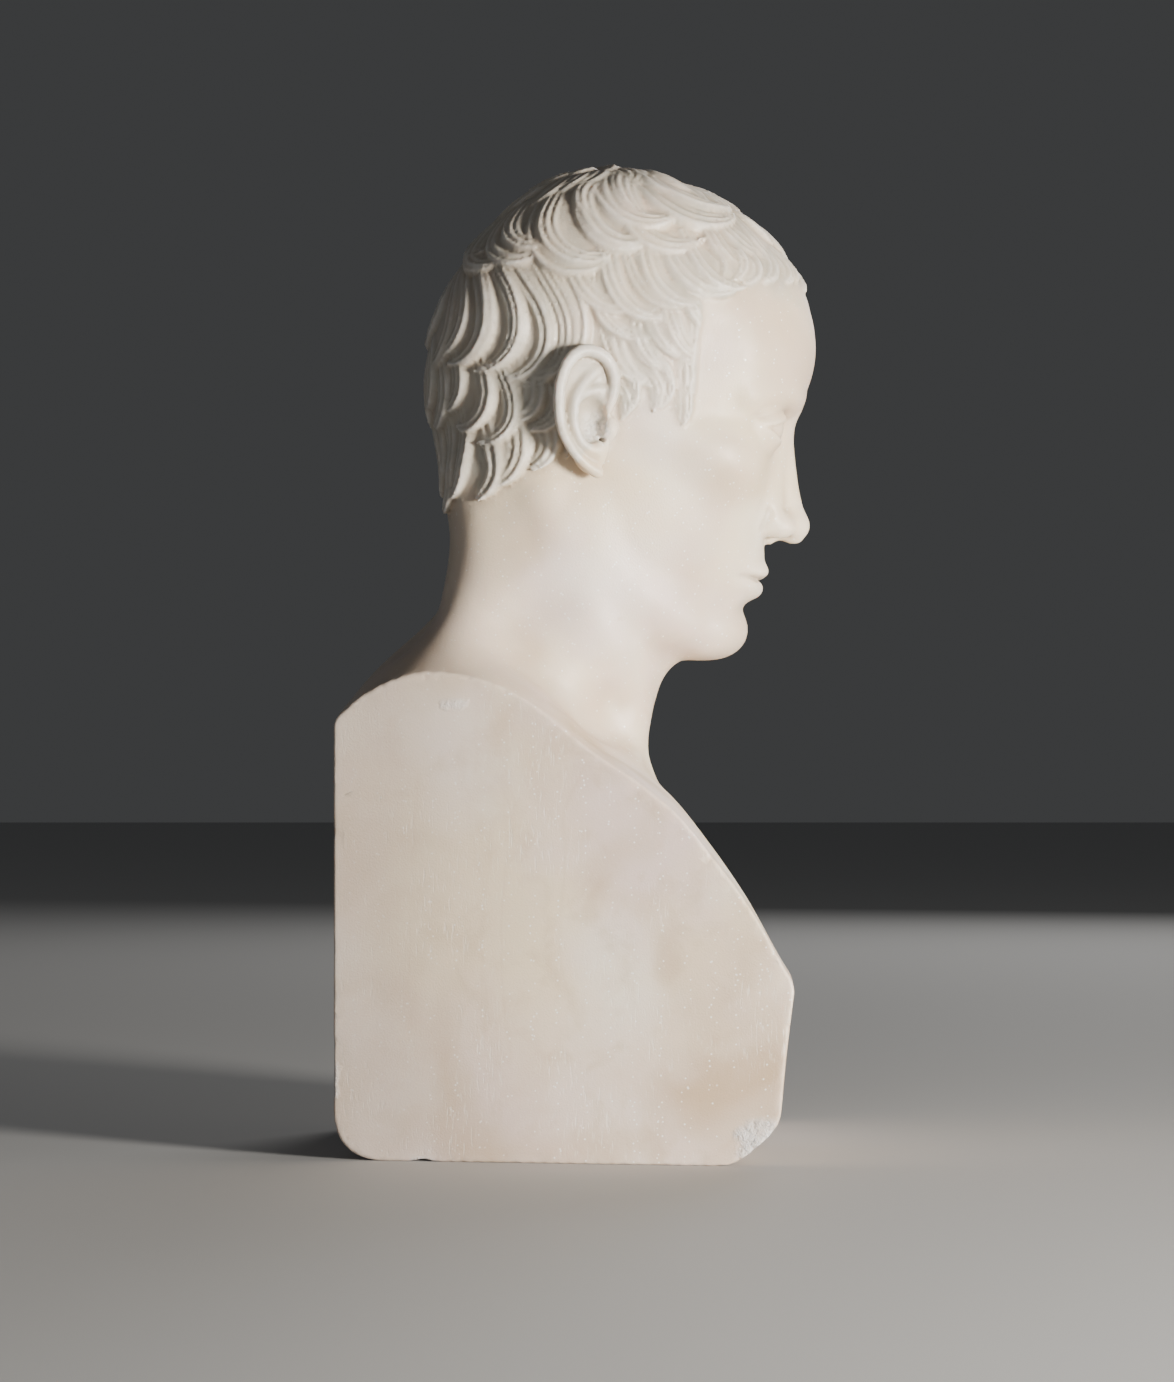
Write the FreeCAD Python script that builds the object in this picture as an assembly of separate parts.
"""Marble herm bust: one carved stone, with a sleeved dowel socket leaded into its underside.

Frame: +Z up, the face looks towards -Y, +X is the sitter's left. The origin is on the ground, in the
middle of the bust's box. Millimetres.
"""

import FreeCAD, Part

import math
import os

from FreeCAD import Matrix, Placement, Rotation, Vector

# Herm block: the squared-off chest, with flat sides that spread towards the front
BLOCK_FRONT_WIDTH = 302.0
BLOCK_BACK_WIDTH = 216.0
BLOCK_BACK_Y = 138.0
RIDGE_Y = -115.0            # the ridge where the chest breaks back towards the base
RIDGE_Z = 99.0
TOE_Y = -107.0              # where the front would meet the ground, before its edge was worn away
WORN_TOE = (24.0, 20.0)     # depth and height of that worn edge
WORN_HEEL = (19.0, 30.0)    # the same along the back
CHEST_BULGE = 12.0          # how far the breastbone stands in front of the cut sides
SHOULDER_ROOF = [(-36, 209), (12, 244), (48, 262), (84, 270), (113, 265), (BLOCK_BACK_Y, 249)]
ROOF_RISE = [9, 18, 24, 22, 14, 6]      # how much higher each of those points is between the shoulders
LOFT_HALF_WIDTH = 160.0     # the block is lofted wider than it is, then its sides are cut flat
SAWN_OFF = 6.0              # it is also lofted this much too long below, then cut flat at Z = 0

# Head, in its own frame: origin between the ears, -Y forward, +Z towards the crown
HEAD_CENTRE = Vector(0, -7, 418)
HEAD_TILT = 13.0            # degrees, bowed forward
HAIR_THICK = 5.0
CHIN = -118.0
FACE_THIRD = 76.0           # chin to nose base, nose base to brow, brow to hairline
FACE_FRONT = 110.0          # from the ears to the upper lip
EYE_WIDTH = 33.0            # also half the gap between the pupils, and the width of the nose
EAR_HEIGHT = 72.0
EAR_X = 84.0
HAIRLINE_FRONT = (-109.0, 76.0)         # Y and Z of the hairline above the forehead
HAIRLINE_NAPE = (72.0, -74.0)
HEAD_REACH = 200.0          # farther than any part of the head from its origin

# Dowel socket in the underside
SOCKET_BORE_R = 8.2         # takes a 16 mm dowel
SOCKET_WALL = 1.8
SOCKET_DEPTH = 90.0
PLUG_THICK = 6.0
LEAD_WALL = 6.0
LEAD_KEY_R = 4.0            # the hole is cut wider near its top, so that the lead keys into the stone
LEAD_KEY_HEIGHT = 18.0

NOSE_BASE = CHIN + FACE_THIRD
BROW = NOSE_BASE + FACE_THIRD
SOCKET_R = SOCKET_BORE_R + SOCKET_WALL
PLUG_TOP = SOCKET_DEPTH + PLUG_THICK


# ---------------------------------------------------------------- drawing helpers

def spline(points, closed=False):
    curve = Part.BSplineCurve()
    curve.interpolate(Points=[Vector(*p) for p in points], PeriodicFlag=closed)
    return curve.toShape()


def line(start, end):
    return Part.LineSegment(Vector(*start), Vector(*end)).toShape()


def ellipsoid(centre, radii, turn_x=0.0):
    """A solid ellipsoid, turned about X through its own centre."""
    scale = Matrix()
    scale.scale(*radii)
    solid = Part.makeSphere(1.0).transformGeometry(scale)
    solid.Placement = Placement(Vector(*centre), Rotation(Vector(1, 0, 0), turn_x))
    return solid


def oval(z, front, back, half_width, power=2.0, widest=0.5):
    """A level closed curve from Y = -front to Y = back. A power above 2 squares it off."""
    middle = -front + (front + back) * widest
    steps = 20
    points = []
    for i in range(steps):
        angle = 2 * math.pi * i / steps
        across = math.copysign(abs(math.cos(angle)) ** (2 / power), math.cos(angle))
        along = math.copysign(abs(math.sin(angle)) ** (2 / power), math.sin(angle))
        reach = back - middle if along > 0 else front + middle
        points.append((half_width * across, middle + reach * along, z))
    return Part.Wire([spline(points, closed=True)])


def loft(wires):
    return Part.makeLoft(wires, True, False)


# ---------------------------------------------------------------- herm block

def side_width(y):
    """How far each flat side is from the middle at y."""
    share = (y - RIDGE_Y) / (BLOCK_BACK_Y - RIDGE_Y)
    return (BLOCK_FRONT_WIDTH + (BLOCK_BACK_WIDTH - BLOCK_FRONT_WIDTH) * share) / 2


def block_section(x):
    """The block's outline at x: the sole, the back, over the shoulder, down the chest, and the front."""
    bulge = CHEST_BULGE * (1.0 - (x / LOFT_HALF_WIDTH) ** 2)
    roof = [
        (x, y, z + rise * (1.0 - (x / side_width(y)) ** 2))
        for (y, z), rise in zip(SHOULDER_ROOF, ROOF_RISE)
    ]
    pit = (x, SHOULDER_ROOF[0][0] - bulge * 0.3, roof[0][2])
    ridge = (x, RIDGE_Y - bulge * 0.35, RIDGE_Z)
    breast = (x, (pit[1] + ridge[1]) / 2 - bulge * 0.35, (pit[2] + ridge[2]) / 2)
    toe = (x, TOE_Y - bulge * 0.35, -SAWN_OFF)
    heel = (x, BLOCK_BACK_Y, -SAWN_OFF)
    roof[0] = pit
    return Part.Wire([
        line(toe, heel),
        line(heel, roof[-1]),
        spline(reversed(roof)),
        spline([pit, breast, ridge]),
        line(ridge, toe),
    ])


def flat_sides():
    """A tall prism with the block's plan, to cut the sides flat."""
    margin = 40.0
    y_front, y_back = RIDGE_Y - margin, BLOCK_BACK_Y + margin
    wide, narrow = side_width(y_front), side_width(y_back)
    plan = [(-wide, y_front, 0), (wide, y_front, 0), (narrow, y_back, 0), (-narrow, y_back, 0)]
    outline = Part.makePolygon([Vector(*p) for p in plan + plan[:1]])
    return Part.Face(outline).extrude(Vector(0, 0, 400))


def oval_bar(centre_y, centre_z, half_y, half_z):
    """A long solid bar along X with an oval section."""
    centre = Vector(-LOFT_HALF_WIDTH, centre_y, centre_z)
    along_y, along_z = Vector(0, 1, 0), Vector(0, 0, 1)
    wide, tall = (along_y, along_z) if half_y > half_z else (along_z, along_y)
    major, minor = max(half_y, half_z), min(half_y, half_z)
    rim = Part.Ellipse(centre + wide * major, centre + tall * minor, centre).toShape()
    return Part.Face(Part.Wire([rim])).extrude(Vector(2 * LOFT_HALF_WIDTH, 0, 0))


def worn_edge(edge_y, depth, height, outward):
    """What to cut away along a bottom edge, so that a quarter oval is left."""
    inner_y = edge_y - outward * depth
    width = depth + 20
    corner = Vector(-LOFT_HALF_WIDTH, min(inner_y, inner_y + outward * width), -SAWN_OFF)
    bar = Part.makeBox(2 * LOFT_HALF_WIDTH, width, height + SAWN_OFF, corner)
    return bar.cut(oval_bar(inner_y, height, depth, height))


def herm_block():
    shares = (-1.0, -0.55, 0.0, 0.55, 1.0)
    body = loft([block_section(share * LOFT_HALF_WIDTH) for share in shares])
    toe = worn_edge(TOE_Y - 6, WORN_TOE[0], WORN_TOE[1], -1)
    heel = worn_edge(BLOCK_BACK_Y, WORN_HEEL[0], WORN_HEEL[1], 1)
    return body.common(flat_sides()).cut(toe).cut(heel)


# ---------------------------------------------------------------- neck

def neck():
    """A round column that leans forward as it rises, buried in the shoulders and in the head."""
    return loft([
        oval(190, 34, 112, 94),
        oval(225, 37, 110, 82),
        oval(262, 44, 106, 70),
        oval(300, 50, 96, 65),
        oval(335, 56, 82, 63),
        oval(370, 60, 76, 64),
        oval(405, 60, 70, 66),
    ])


# ---------------------------------------------------------------- head

def skull(grow):
    """The whole head from under the chin to the crown, grown outwards to make the hair."""
    rings = [
        (CHIN + 1, 97, -18, 27, 2.0),
        (CHIN + 9, 107, 0, 41, 2.0),
        (CHIN + 26, 105, 30, 55, 2.0),
        (NOSE_BASE - 26, 108, 58, 64, 2.1),
        (NOSE_BASE, 108, 78, 71, 2.2),
        (-12, 104, 95, 77, 2.3),
        (BROW - 16, 105, 101, 80, 2.3),
        (BROW + 4, 111, 102, 82, 2.3),
        (66, 113, 100, 83, 2.3),
        (95, 103, 85, 75, 2.2),
        (120, 80, 64, 60, 2.1),
        (135, 56, 44, 42, 2.0),
        (142, 34, 26, 25, 2.0),
        (144, 12, 10, 9, 2.0),
    ]
    return loft([
        oval(z + grow * z / rings[-1][0], front + grow, back + grow, half_width + grow, power, 0.6)
        for z, front, back, half_width, power in rings
    ])


def hair():
    """A cap over the skull, cut off along a sloping hairline from the forehead to the nape."""
    front = Vector(-HEAD_REACH, *HAIRLINE_FRONT)
    nape = Vector(-HEAD_REACH, *HAIRLINE_NAPE)
    hairline = nape - front
    down = Vector(0, 0, -2 * HEAD_REACH)
    before, behind = front - hairline, nape + hairline
    below = [before, behind, behind + down, before + down + down]
    cutter = Part.Face(Part.makePolygon(below + below[:1])).extrude(Vector(2 * HEAD_REACH, 0, 0))
    return skull(HAIR_THICK).cut(cutter)


def nose():
    """A straight bridge that widens down to the tip, with a flat underside."""
    rings = [
        (BROW - 6, EYE_WIDTH * 0.20, FACE_FRONT - 1),
        (BROW - 28, EYE_WIDTH * 0.22, FACE_FRONT + 5),
        (NOSE_BASE + 12, EYE_WIDTH * 0.40, FACE_FRONT + 20),
        (NOSE_BASE + 1, EYE_WIDTH * 0.42, FACE_FRONT + 14),
    ]
    root = 30 - FACE_FRONT
    bridge = loft([oval(z, front, root, half_width, 1.8) for z, half_width, front in rings])
    wings = [
        ellipsoid((side * EYE_WIDTH * 0.36, 2 - FACE_FRONT, NOSE_BASE + 8), (6, 12, 7))
        for side in (-1, 1)
    ]
    return bridge.fuse(wings)


def mouth_and_chin():
    lip_width = EYE_WIDTH * 0.8
    lips = [
        ellipsoid((0, 7 - FACE_FRONT, NOSE_BASE - 19), (lip_width, 11, 5)),
        ellipsoid((0, 9 - FACE_FRONT, NOSE_BASE - 29), (lip_width * 0.85, 11, 6)),
    ]
    return ellipsoid((0, 16 - FACE_FRONT, CHIN + 17), (27, 17, 17)).fuse(lips)


def ear(side):
    """An oval dish that stands off the head and leans back."""
    shell = ellipsoid((side * EAR_X, 4, -3), (12, 18, EAR_HEIGHT / 2), 12)
    dish = ellipsoid((side * (EAR_X + 13), 1, 0), (9, 11, EAR_HEIGHT * 0.34), 12)
    return shell.cut(dish)


def head():
    eye_z = BROW - 17
    sides = (-1, 1)
    hollows = [
        ellipsoid((side * EYE_WIDTH, -FACE_FRONT - 2, eye_z), (19, 13, 13)) for side in sides
    ]
    eyes = [ellipsoid((side * EYE_WIDTH, 20 - FACE_FRONT, eye_z), (16, 15, 13)) for side in sides]
    whole = skull(0).cut(hollows[0]).cut(hollows[1])
    whole = whole.fuse(eyes + [hair(), nose(), mouth_and_chin()] + [ear(side) for side in sides])
    whole.Placement = Placement(HEAD_CENTRE, Rotation(Vector(1, 0, 0), HEAD_TILT))
    return whole


# ---------------------------------------------------------------- dowel socket

def lead_outline():
    """The outside of the poured lead: a straight plug with a wider ring near its top."""
    radius = SOCKET_R + LEAD_WALL
    stem = Part.makeCylinder(radius, PLUG_TOP + LEAD_WALL)
    key_z = PLUG_TOP - LEAD_KEY_HEIGHT
    key = Part.makeCone(radius, radius + LEAD_KEY_R, LEAD_KEY_HEIGHT, Vector(0, 0, key_z))
    return stem.fuse(key)


def dowel_sleeve():
    bore = Part.makeCylinder(SOCKET_BORE_R, SOCKET_DEPTH)
    return Part.makeCylinder(SOCKET_R, SOCKET_DEPTH).cut(bore)


def sleeve_plug():
    """A disc that closes the sleeve's upper end."""
    return Part.makeCylinder(SOCKET_R, PLUG_THICK, Vector(0, 0, SOCKET_DEPTH))


def lead_setting():
    """The lead that fills the hole round the sleeve and over its plug."""
    return lead_outline().cut(Part.makeCylinder(SOCKET_R, PLUG_TOP))


# ---------------------------------------------------------------- the parts

def marble_bust():
    return herm_block().fuse([neck(), head()]).cut(lead_outline())


def report(name, shape):
    box = shape.optimalBoundingBox(False)
    print(
        name,
        "valid %s, solids %d, litres %.4f," % (shape.isValid(), len(shape.Solids), shape.Volume / 1e6),
        "x %.1f %.1f, y %.1f %.1f, z %.1f %.1f"
        % (box.XMin, box.XMax, box.YMin, box.YMax, box.ZMin, box.ZMax),
    )


os.makedirs("parts", exist_ok=True)
for name, shape in {
    "marble_bust": marble_bust(),
    "dowel_sleeve": dowel_sleeve(),
    "sleeve_plug": sleeve_plug(),
    "lead_setting": lead_setting(),
}.items():
    report(name, shape)
    shape.exportStep("parts/%s.step" % name)
